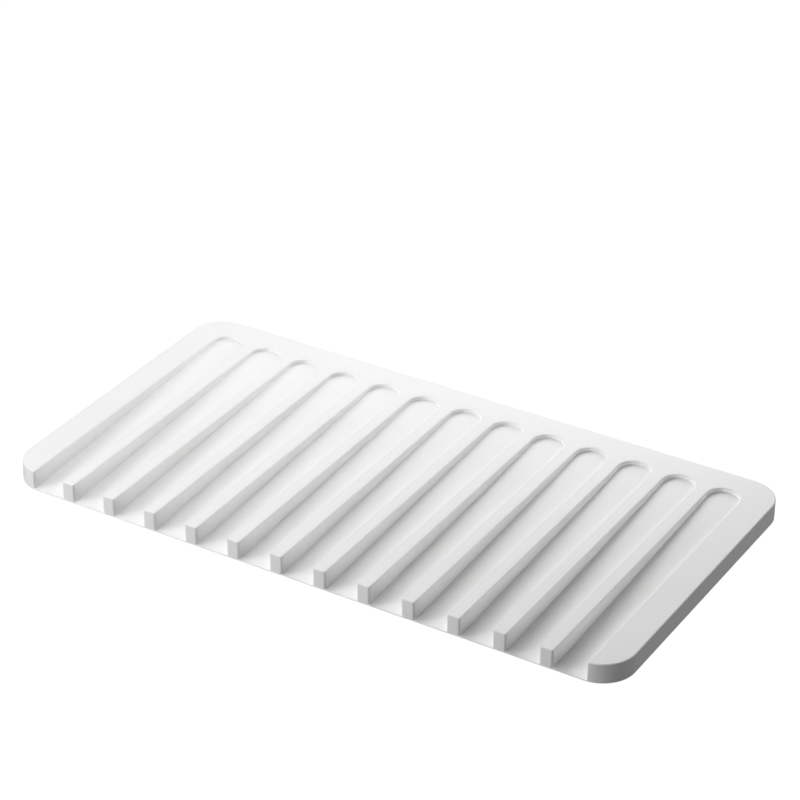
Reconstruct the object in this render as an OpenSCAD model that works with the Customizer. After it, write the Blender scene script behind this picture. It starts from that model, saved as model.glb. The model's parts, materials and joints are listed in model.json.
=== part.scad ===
// Self-draining silicone tray, moulded in one piece.
// A flat slab whose top is cut by a row of channels. Each channel has a rounded back end
// and a floor that falls towards the open front edge, so that water runs off there.
// Millimetres. Origin at the centre of the underside, +X to the right along the long side,
// +Y towards the closed back ends of the channels, +Z up.

/* [Tray] */
// Width along the long side, across the channels
tray_w = 330; // [270:1:420]
// Depth from the pouring edge to the back edge
tray_d = 175.4; // [140:0.1:230]
// Height of the rim and of the rib tops above the worktop
tray_h = 10.2; // [8:0.1:16]
// Radius of the four corners, seen from above
corner_r = 17; // [4:0.5:30]

/* [Rims and ribs] */
// Width of the solid rim at the left and right sides
side_rim_w = 15.3; // [8:0.1:24]
// Width of the solid rim behind the channels
back_rim_w = 13.7; // [6:0.1:30]
// Width of each rib between two channels
rib_w = 6.9; // [3:0.1:9]

/* [Channels] */
// Number of channels
channel_count = 13; // [5:1:13]
// Depth of a channel at its back end
back_depth = 2; // [1.5:0.1:5]
// Thickness of the floor that is left at the pouring edge
lip_t = 0.6; // [0.4:0.1:2]
// Radius where a channel's floor meets its walls
floor_fillet_r = 0.3; // [0.2:0.1:1.4]

/* [Hidden] */
$fn = 96;

// How far a cutter runs past the faces it opens
past = 5;
channel_w = (tray_w - 2 * side_rim_w - (channel_count - 1) * rib_w) / channel_count;
channel_r = channel_w / 2;
channel_pitch = channel_w + rib_w;
// The pouring edge, and the furthest point of a channel behind it
front_y = -tray_d / 2;
channel_end_y = tray_d / 2 - back_rim_w;
// The floor falls from the back end of the channels to the lip at the pouring edge
floor_fall = tray_h - back_depth - lip_t;
floor_angle = atan2(floor_fall, channel_end_y - front_y);
// Length of a channel from the lip to the centre of its round end, along the floor
floor_run = (channel_end_y - front_y) / cos(floor_angle) - channel_r;
// Height of the cutter, enough to clear the rib tops at the pouring edge
cutter_h = tray_h + past;

module slab_outline() {
    square([tray_w - 2 * corner_r, tray_d], center = true);
    square([tray_w, tray_d - 2 * corner_r], center = true);
    for (side = [-1, 1], end = [-1, 1])
        translate([side * (tray_w / 2 - corner_r), end * (tray_d / 2 - corner_r)])
            circle(r = corner_r);
}

// Right half of a channel's cross-section: the floor lies on y = 0, and a fillet leads up to the wall
module channel_half_section() {
    square([channel_r - floor_fillet_r, cutter_h]);
    translate([0, floor_fillet_r])
        square([channel_r, cutter_h - floor_fillet_r]);
    intersection() {
        translate([channel_r - floor_fillet_r, floor_fillet_r])
            circle(r = floor_fillet_r);
        square([channel_r, cutter_h]);
    }
}

module channel_section() {
    channel_half_section();
    mirror([1, 0])
        channel_half_section();
}

// The space of one channel, with its floor level and the pouring edge at y = 0
module channel_cutter() {
    translate([0, -past, 0])
        rotate([90, 0, 180])
            linear_extrude(past + floor_run)
                channel_section();
    translate([0, floor_run, 0])
        rotate_extrude()
            channel_half_section();
}

module drain_tray() {
    color("whitesmoke")
        difference() {
            linear_extrude(tray_h)
                slab_outline();
            for (i = [0 : channel_count - 1])
                translate([(i - (channel_count - 1) / 2) * channel_pitch, front_y, lip_t])
                    rotate([floor_angle, 0, 0])
                        channel_cutter();
        }
}

drain_tray();
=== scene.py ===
"""A self-draining silicone tray, moulded in one piece, on a pale studio floor.

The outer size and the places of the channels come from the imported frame. The rest of the shape,
the finish and the studio are properties of the scene, and the panel in the sidebar lists them.
"""

import json
import math

import bmesh
import bpy
from mathutils import Matrix, Vector


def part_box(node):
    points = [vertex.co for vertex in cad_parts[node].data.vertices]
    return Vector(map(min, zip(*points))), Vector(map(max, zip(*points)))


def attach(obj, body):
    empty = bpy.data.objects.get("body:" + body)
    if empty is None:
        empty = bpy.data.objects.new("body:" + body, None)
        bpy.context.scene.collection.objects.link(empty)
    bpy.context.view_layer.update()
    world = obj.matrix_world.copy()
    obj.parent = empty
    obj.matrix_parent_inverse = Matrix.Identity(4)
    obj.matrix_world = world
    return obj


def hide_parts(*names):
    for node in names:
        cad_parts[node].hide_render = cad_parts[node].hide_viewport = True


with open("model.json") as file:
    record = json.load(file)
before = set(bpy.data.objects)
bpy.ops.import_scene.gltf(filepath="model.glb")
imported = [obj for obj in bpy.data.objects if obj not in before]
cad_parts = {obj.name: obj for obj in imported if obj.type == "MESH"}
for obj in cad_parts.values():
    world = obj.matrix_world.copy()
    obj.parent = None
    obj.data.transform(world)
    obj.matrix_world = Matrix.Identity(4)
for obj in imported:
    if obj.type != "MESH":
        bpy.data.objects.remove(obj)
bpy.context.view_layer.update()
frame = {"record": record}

bl_info = {
    "name": "Silicone draining tray",
    "version": (1, 0, 0),
    "blender": (4, 5, 0),
    "location": "View3D > Sidebar > Draining tray",
    "description": "Models a one-piece silicone draining tray and the studio that it stands in",
    "category": "Add Mesh",
}

CAD_NODE = "drain_tray"
MM = 0.001
TINY = 0.01 * MM

# Segments of a full turn of a channel's round end, and of one rounded corner or edge
CHANNEL_END_SIDES = 96
CORNER_SEGMENTS = 24
FILLET_SEGMENTS = 4
MOUTH_SEGMENTS = 5
EDGE_SEGMENTS = 4

# Steepest turn between two faces of a rounded stretch. A sharper one is an edge.
CREASE_ANGLE = math.radians(40)

# Sizes of the patterns in the rubber. The grain of a blasted mould is finer, and wouldn't show.
CLOUD_SIZE = 45 * MM
GRAIN_SIZE = 0.8 * MM
GRAIN_DEPTH = 0.03 * MM

# Distance of the softboxes from the tray's middle, and their width
NEAR = (0.42, 0.25)
MIDDLE = (0.7, 0.4)
FAR = (1.6, 0.6)
FLOOR_SIZE = 12


class TrayShape(bpy.types.PropertyGroup):
    """Sizes of the tray that its box doesn't give"""

    corner_radius: bpy.props.FloatProperty(
        name="Corner radius",
        description="Radius of the four corners, seen from above",
        default=17 * MM,
        min=1 * MM,
        unit="LENGTH",
    )
    rib_width: bpy.props.FloatProperty(
        name="Rib width",
        description="Width of each rib between two channels",
        default=6.9 * MM,
        min=1 * MM,
        unit="LENGTH",
    )
    back_rim_width: bpy.props.FloatProperty(
        name="Back rim",
        description="Width of the solid rim behind the channels",
        default=13.7 * MM,
        min=1 * MM,
        unit="LENGTH",
    )
    back_depth: bpy.props.FloatProperty(
        name="Depth at the back",
        description="Depth of a channel at its closed end",
        default=2 * MM,
        min=0.5 * MM,
        unit="LENGTH",
    )
    lip_thickness: bpy.props.FloatProperty(
        name="Lip",
        description="Thickness of the floor that is left at the pouring edge",
        default=0.6 * MM,
        min=0.2 * MM,
        unit="LENGTH",
    )
    floor_fillet: bpy.props.FloatProperty(
        name="Floor fillet",
        description="Radius where a channel's floor meets its walls",
        default=0.3 * MM,
        min=0.1 * MM,
        unit="LENGTH",
    )
    top_rounding: bpy.props.FloatProperty(
        name="Top edges",
        description="Radius of the edges of the rim and of the rib tops",
        default=0.6 * MM,
        min=0.05 * MM,
        unit="LENGTH",
    )
    mouth_rounding: bpy.props.FloatProperty(
        name="Mouth edges",
        description="Radius of the upright edges on both sides of a channel's mouth",
        default=1.1 * MM,
        min=0.05 * MM,
        unit="LENGTH",
    )
    foot_rounding: bpy.props.FloatProperty(
        name="Foot edge",
        description="Radius of the edge that stands on the worktop",
        default=0.2 * MM,
        min=0.05 * MM,
        unit="LENGTH",
    )


class SiliconeFinish(bpy.types.PropertyGroup):
    """Colours and surface of the silicone rubber"""

    colour: bpy.props.StringProperty(
        name="Colour",
        description="Colour of the pigmented rubber, as an sRGB hex value",
        default="#F4F4F4",
    )
    cloud_colour: bpy.props.StringProperty(
        name="Cloud colour",
        description="Slightly darker shade where the pigment mixed less evenly, as an sRGB hex value",
        default="#EFEFEE",
    )
    roughness: bpy.props.FloatProperty(
        name="Roughness",
        description="Roughness that the blasted mould leaves on the rubber",
        default=0.5,
        min=0.0,
        max=1.0,
        subtype="FACTOR",
    )


class Studio(bpy.types.PropertyGroup):
    """Camera and backdrop"""

    azimuth: bpy.props.FloatProperty(
        name="Azimuth",
        description="Turn of the camera round the tray, from straight in front towards the right",
        default=math.radians(30.66),
        subtype="ANGLE",
    )
    elevation: bpy.props.FloatProperty(
        name="Elevation",
        description="Height of the camera above the horizon",
        default=math.radians(30.25),
        subtype="ANGLE",
    )
    roll: bpy.props.FloatProperty(
        name="Roll",
        description="Turn of the camera about its own line of sight",
        default=math.radians(0.59),
        subtype="ANGLE",
    )
    distance: bpy.props.FloatProperty(
        name="Distance",
        description="Distance from the camera to the point on the worktop that it aims at",
        default=1.5037,
        unit="LENGTH",
    )
    aim: bpy.props.FloatVectorProperty(
        name="Aim",
        description="Point on the worktop that the camera aims at",
        default=(-44.7 * MM, 78.6 * MM, 0.0),
        size=3,
        subtype="TRANSLATION",
    )
    focal_length: bpy.props.FloatProperty(
        name="Focal length",
        description="Focal length on a sensor 36 mm wide, in millimetres",
        default=133.5,
        unit="CAMERA",
    )
    floor_colour: bpy.props.StringProperty(
        name="Floor colour",
        description="Colour of the lit table and of the room behind it, as an sRGB hex value",
        default="#FFFFFF",
    )


def linear(hex_colour):
    """The linear RGBA value of an sRGB hex colour."""
    digits = hex_colour.lstrip("#")
    channels = [int(digits[i : i + 2], 16) / 255 for i in (0, 2, 4)]
    return [c / 12.92 if c <= 0.04045 else ((c + 0.055) / 1.055) ** 2.4 for c in channels] + [1.0]


# Modelling helpers


def deselect_everything():
    """Leaves nothing selected, so that the next operator acts only on what it is given."""
    bpy.ops.object.select_all(action="DESELECT")


def use_only(piece):
    """Makes one piece the selected and active one."""
    deselect_everything()
    piece.select_set(True)
    bpy.context.view_layer.objects.active = piece


def select_where(piece, kind, wanted):
    """In edit mode, selects the vertices, edges or faces of a piece for which wanted is true."""
    bpy.ops.mesh.select_mode(type=kind)
    bpy.ops.mesh.select_all(action="DESELECT")
    mesh = bmesh.from_edit_mesh(piece.data)
    parts = {"VERT": mesh.verts, "EDGE": mesh.edges, "FACE": mesh.faces}[kind]
    for part in parts:
        if wanted(part):
            part.select_set(True)
    mesh.select_flush_mode()
    bmesh.update_edit_mesh(piece.data)


def apply_modifier(piece, kind, **settings):
    """Adds a modifier with its settings to a piece and applies it."""
    use_only(piece)
    modifier = piece.modifiers.new(kind.title(), kind)
    for name, value in settings.items():
        setattr(modifier, name, value)
    bpy.ops.object.modifier_apply(modifier=modifier.name)


def at_height(edge, height):
    """True if both ends of an edge lie at that height."""
    return all(abs(vert.co.z - height) < TINY for vert in edge.verts)


def is_upright(edge):
    """True if an edge runs straight up."""
    low, high = edge.verts
    return (low.co.xy - high.co.xy).length < TINY


def is_crease(edge):
    """True if the two faces at an edge meet at a clear corner, and not along a rounded stretch."""
    return len(edge.link_faces) == 2 and edge.calc_face_angle() > CREASE_ANGLE


# The tray


def slab(shape):
    """The solid slab, as large as the tray, with its four corners rounded."""
    low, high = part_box(CAD_NODE)
    deselect_everything()
    bpy.ops.mesh.primitive_cube_add(size=1, location=(low + high) / 2, scale=high - low)
    piece = bpy.context.object
    bpy.ops.object.transform_apply(location=True, rotation=True, scale=True)
    bpy.ops.object.mode_set(mode="EDIT")
    select_where(piece, "EDGE", is_upright)
    bpy.ops.mesh.bevel(
        offset=shape.corner_radius,
        offset_type="OFFSET",
        segments=CORNER_SEGMENTS,
        affect="EDGES",
    )
    bpy.ops.object.mode_set(mode="OBJECT")
    return piece


def channel_centres():
    """The places of the channels across the tray, from the openings that the frame's record states."""
    openings = frame["record"]["physics"]["openings"]
    mouths = [o["box_m"] for o in openings if o["name"].endswith("_front")]
    return sorted((low[0] + high[0]) / 2 for low, high in mouths)


def channel_space(shape, width, length, height):
    """The space of one channel, its floor level, its mouth at y = 0 and its round end behind."""
    radius = width / 2
    past = 5 * MM
    straight = length - radius
    mouth = radius + shape.mouth_rounding
    deselect_everything()
    bpy.ops.mesh.primitive_circle_add(
        vertices=CHANNEL_END_SIDES, radius=radius, location=(0, straight, 0)
    )
    piece = bpy.context.object
    bpy.ops.object.transform_apply(location=True, rotation=True, scale=True)
    bpy.ops.object.mode_set(mode="EDIT")
    select_where(piece, "VERT", lambda vert: vert.co.y < straight - TINY)
    bpy.ops.mesh.delete(type="VERT")
    # The walls run to the mouth, step out there and go on in front of the tray
    select_where(piece, "VERT", lambda vert: vert.co.y < straight + TINY)
    bpy.ops.mesh.extrude_vertices_move(TRANSFORM_OT_translate={"value": (0, -straight, 0)})
    bpy.ops.mesh.extrude_vertices_move()
    bpy.ops.transform.resize(value=(mouth / radius, 1, 1))
    bpy.ops.mesh.extrude_vertices_move(TRANSFORM_OT_translate={"value": (0, -past, 0)})
    bpy.ops.mesh.select_all(action="SELECT")
    bpy.ops.mesh.edge_face_add()
    # The steps become the rounded corners of the ribs
    select_where(piece, "VERT", lambda vert: abs(vert.co.y) < TINY and abs(vert.co.x) < radius + TINY)
    bpy.ops.mesh.bevel(
        offset=shape.mouth_rounding,
        offset_type="OFFSET",
        segments=MOUTH_SEGMENTS,
        affect="VERTICES",
    )
    bpy.ops.mesh.select_all(action="SELECT")
    bpy.ops.mesh.remove_doubles(threshold=TINY)
    bpy.ops.mesh.extrude_region_move(TRANSFORM_OT_translate={"value": (0, 0, height)})
    select_where(
        piece,
        "EDGE",
        lambda edge: at_height(edge, 0) and any(v.co.y > -past + TINY for v in edge.verts),
    )
    bpy.ops.mesh.bevel(
        offset=shape.floor_fillet,
        offset_type="OFFSET",
        segments=FILLET_SEGMENTS,
        affect="EDGES",
    )
    bpy.ops.mesh.select_all(action="SELECT")
    bpy.ops.mesh.remove_doubles(threshold=TINY / 10)
    bpy.ops.mesh.normals_make_consistent(inside=False)
    bpy.ops.object.mode_set(mode="OBJECT")
    return piece


def channel_spaces(shape):
    """The space of all the channels, each floor falling from the back end to the lip."""
    low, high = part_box(CAD_NODE)
    centres = channel_centres()
    pitch = centres[1] - centres[0]
    run = high.y - shape.back_rim_width - low.y
    fall = high.z - shape.back_depth - low.z - shape.lip_thickness
    # The floor slopes while the walls stay upright
    slope = Matrix.Identity(4)
    slope[2][1] = fall / run
    piece = channel_space(shape, pitch - shape.rib_width, run, 2 * (high.z - low.z))
    piece.data.transform(slope)
    piece.data.transform(Matrix.Translation((centres[0], low.y, low.z + shape.lip_thickness)))
    apply_modifier(
        piece,
        "ARRAY",
        count=len(centres),
        use_relative_offset=False,
        use_constant_offset=True,
        constant_offset_displace=(pitch, 0, 0),
    )
    return piece


def round_edges(piece, shape):
    """Rounds the edges of the rim and rib tops, and a little less the edge that the tray stands on."""
    low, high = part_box(CAD_NODE)
    bpy.ops.object.mode_set(mode="EDIT")
    mesh = bmesh.from_edit_mesh(piece.data)
    weight = mesh.edges.layers.float.new("bevel_weight_edge")
    for edge in mesh.edges:
        if not is_crease(edge):
            continue
        if at_height(edge, high.z):
            edge[weight] = 1.0
        elif at_height(edge, low.z):
            edge[weight] = shape.foot_rounding / shape.top_rounding
    bmesh.update_edit_mesh(piece.data)
    bpy.ops.object.mode_set(mode="OBJECT")
    apply_modifier(
        piece,
        "BEVEL",
        limit_method="WEIGHT",
        width=shape.top_rounding,
        segments=EDGE_SEGMENTS,
        use_clamp_overlap=False,
    )


def silicone_tray(shape):
    """The whole tray: one slab, less its channels, with every edge rounded."""
    piece = slab(shape)
    spaces = channel_spaces(shape)
    apply_modifier(piece, "BOOLEAN", operation="DIFFERENCE", solver="EXACT", object=spaces)
    bpy.data.objects.remove(spaces)
    use_only(piece)
    bpy.ops.object.mode_set(mode="EDIT")
    bpy.ops.mesh.select_all(action="SELECT")
    bpy.ops.mesh.remove_doubles(threshold=TINY / 10)
    # An outer mouth cuts a corner's arc and leaves facets on top that are too short to be rounded
    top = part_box(CAD_NODE)[1].z
    select_where(piece, "VERT", lambda vert: abs(vert.co.z - top) < TINY)
    bpy.ops.mesh.remove_doubles(threshold=shape.top_rounding / 3)
    bpy.ops.object.mode_set(mode="OBJECT")
    round_edges(piece, shape)
    bpy.ops.object.shade_smooth()
    apply_modifier(piece, "WEIGHTED_NORMAL", mode="FACE_AREA", weight=80, keep_sharp=True)
    piece.name = "silicone_tray"
    piece.data.name = "silicone_tray"
    return piece


# Materials


def add_node(tree, kind, links=None, **settings):
    """Adds a node. Settings name its properties, and links give its inputs a value or a socket."""
    node = tree.nodes.new(kind)
    for name, value in settings.items():
        setattr(node, name, value)
    for name, value in (links or {}).items():
        if isinstance(value, bpy.types.NodeSocket):
            tree.links.new(value, node.inputs[name])
        else:
            node.inputs[name].default_value = value
    return node


def new_material(name):
    """A material with an empty node tree and its output."""
    material = bpy.data.materials.new(name)
    material.use_nodes = True
    material.node_tree.nodes.clear()
    return material, material.node_tree


def moulded_silicone(finish):
    """White silicone rubber from a blasted mould: opaque, soft sheen, a fine even grain."""
    # The pigment clouds the white a little, the grain breaks up the sheen, and light that sinks in
    # softens the edges of the shadows
    material, tree = new_material("moulded_silicone_rubber")
    place = add_node(tree, "ShaderNodeTexCoord").outputs["Object"]
    clouds = add_node(
        tree,
        "ShaderNodeTexNoise",
        {"Vector": place, "Scale": 1 / CLOUD_SIZE, "Detail": 2.0, "Roughness": 0.5},
    ).outputs["Fac"]
    colour = add_node(tree, "ShaderNodeMix", {"Factor": clouds}, data_type="RGBA")
    colour.inputs[6].default_value = linear(finish.colour)
    colour.inputs[7].default_value = linear(finish.cloud_colour)
    grain = add_node(
        tree,
        "ShaderNodeTexNoise",
        {"Vector": place, "Scale": 1 / GRAIN_SIZE, "Detail": 3.0, "Roughness": 0.6},
    ).outputs["Fac"]
    sheen_change = add_node(
        tree,
        "ShaderNodeMapRange",
        {"Value": grain, "To Min": finish.roughness - 0.05, "To Max": finish.roughness + 0.05},
    ).outputs["Result"]
    relief = add_node(
        tree,
        "ShaderNodeBump",
        {"Height": grain, "Strength": 0.15, "Distance": GRAIN_DEPTH},
    ).outputs["Normal"]
    shader = add_node(
        tree,
        "ShaderNodeBsdfPrincipled",
        {
            "Base Color": colour.outputs[2],
            "Roughness": sheen_change,
            "IOR": 1.41,
            "Subsurface Weight": 0.25,
            "Subsurface Radius": (1.0, 1.0, 1.0),
            "Subsurface Scale": 0.5 * MM,
            "Normal": relief,
        },
    )
    add_node(tree, "ShaderNodeOutputMaterial", {"Surface": shader.outputs["BSDF"]})
    return material


def backlit_acrylic(colour):
    """White acrylic lit from below: a pale table on which every shadow burns out."""
    material, tree = new_material("backlit_white_acrylic")
    shader = add_node(
        tree,
        "ShaderNodeBsdfPrincipled",
        {
            "Base Color": (0.05, 0.05, 0.05, 1),
            "Roughness": 0.9,
            "Emission Color": linear(colour),
            "Emission Strength": 1.0,
        },
    )
    add_node(tree, "ShaderNodeOutputMaterial", {"Surface": shader.outputs["BSDF"]})
    return material


# The studio


def direction(around, up):
    """The unit vector at an angle round from straight in front, and at a height above the worktop."""
    return Vector((math.sin(around) * math.cos(up), -math.cos(around) * math.cos(up), math.sin(up)))


def softbox(name, around, up, place, power):
    """A round softbox that faces the tray. Its two angles are in degrees, its power is in watts."""
    distance, size = place
    deselect_everything()
    towards = direction(math.radians(around), math.radians(up))
    turn = (-towards).to_track_quat("-Z", "Y").to_euler()
    bpy.ops.object.light_add(type="AREA", location=towards * distance, rotation=turn)
    light = bpy.context.object
    light.name = name
    light.data.shape = "DISK"
    light.data.size = size
    light.data.energy = power
    light.visible_camera = False


def camera(studio):
    """The camera, on its azimuth, elevation and distance round the point that it aims at."""
    back = direction(studio.azimuth, studio.elevation)
    right = Vector((math.cos(studio.azimuth), math.sin(studio.azimuth), 0.0))
    axes = Matrix((right, back.cross(right), back)).transposed()
    turn = axes @ Matrix.Rotation(studio.roll, 3, "Z")
    deselect_everything()
    bpy.ops.object.camera_add(
        location=Vector(studio.aim) + back * studio.distance,
        rotation=turn.to_euler(),
    )
    piece = bpy.context.object
    piece.name = "camera"
    piece.data.sensor_width = 36
    piece.data.lens = studio.focal_length
    piece.data.clip_end = 50
    bpy.context.scene.camera = piece


def backdrop(colour):
    """The pale room behind the table. It sheds no light on the tray."""
    room = bpy.data.worlds.new("studio_room")
    bpy.context.scene.world = room
    room.use_nodes = True
    tree = room.node_tree
    tree.nodes.clear()
    air = add_node(tree, "ShaderNodeBackground", {"Color": linear(colour), "Strength": 1.0})
    add_node(tree, "ShaderNodeOutputWorld", {"Surface": air.outputs["Background"]})
    room.cycles_visibility.diffuse = False
    room.cycles_visibility.glossy = False
    room.cycles_visibility.transmission = False


class DRAINTRAY_OT_add_tray(bpy.types.Operator):
    """Model the silicone tray over its CAD node"""

    bl_idname = "draintray.add_tray"
    bl_label = "Add silicone tray"
    bl_options = {"REGISTER", "UNDO"}

    def execute(self, context):
        tray = silicone_tray(context.scene.draintray_shape)
        tray.data.materials.clear()
        tray.data.materials.append(moulded_silicone(context.scene.draintray_finish))
        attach(tray, "root")
        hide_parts(CAD_NODE)
        return {"FINISHED"}


class DRAINTRAY_OT_add_studio(bpy.types.Operator):
    """Set up the floor, the lights and the camera"""

    bl_idname = "draintray.add_studio"
    bl_label = "Add studio"
    bl_options = {"REGISTER", "UNDO"}

    def execute(self, context):
        studio = context.scene.draintray_studio
        camera(studio)
        deselect_everything()
        bpy.ops.mesh.primitive_plane_add(size=FLOOR_SIZE)
        floor = context.object
        floor.name = "studio_floor"
        floor.data.materials.append(backlit_acrylic(studio.floor_colour))
        floor.visible_diffuse = False
        floor.visible_glossy = False
        # The light falls from the back left, so that each rib shades the channel on its right
        softbox("back_left_softbox", 225, 60, NEAR, 0.59)
        softbox("back_softbox", 180, 30, NEAR, 0.63)
        softbox("back_left_far_softbox", 225, 35, FAR, 2.9)
        # Lower boxes in front lift the ends of the ribs, more so on the left
        softbox("front_softbox", 0, 25, MIDDLE, 1.6)
        softbox("front_left_softbox", 315, 25, MIDDLE, 2.6)
        # Two far ones graze the right side, which stays the darkest
        softbox("right_softbox", 90, 15, FAR, 1.7)
        softbox("back_right_softbox", 135, 15, FAR, 6.7)
        backdrop(studio.floor_colour)
        context.scene.view_settings.view_transform = "Standard"
        return {"FINISHED"}


class DRAINTRAY_PT_sidebar(bpy.types.Panel):
    """Lists the tray's sizes, its finish and the studio, with the operators that make them"""

    bl_idname = "DRAINTRAY_PT_sidebar"
    bl_label = "Draining tray"
    bl_space_type = "VIEW_3D"
    bl_region_type = "UI"
    bl_category = "Draining tray"

    def draw(self, context):
        layout = self.layout
        for group, operator in GROUPS_AND_OPERATORS:
            settings = getattr(context.scene, group)
            box = layout.box()
            for name in settings.bl_rna.properties.keys():
                if name not in ("rna_type", "name"):
                    box.prop(settings, name)
            if operator:
                box.operator(operator.bl_idname)


GROUPS_AND_OPERATORS = (
    ("draintray_shape", None),
    ("draintray_finish", DRAINTRAY_OT_add_tray),
    ("draintray_studio", DRAINTRAY_OT_add_studio),
)

CLASSES = (
    TrayShape,
    SiliconeFinish,
    Studio,
    DRAINTRAY_OT_add_tray,
    DRAINTRAY_OT_add_studio,
    DRAINTRAY_PT_sidebar,
)


def register():
    for cls in CLASSES:
        bpy.utils.register_class(cls)
    bpy.types.Scene.draintray_shape = bpy.props.PointerProperty(type=TrayShape)
    bpy.types.Scene.draintray_finish = bpy.props.PointerProperty(type=SiliconeFinish)
    bpy.types.Scene.draintray_studio = bpy.props.PointerProperty(type=Studio)


def unregister():
    del bpy.types.Scene.draintray_studio
    del bpy.types.Scene.draintray_finish
    del bpy.types.Scene.draintray_shape
    for cls in reversed(CLASSES):
        bpy.utils.unregister_class(cls)


def main():
    """Makes the camera, the studio and the tray."""
    register()
    bpy.ops.draintray.add_studio()
    bpy.ops.draintray.add_tray()


if __name__ == "__main__":
    main()
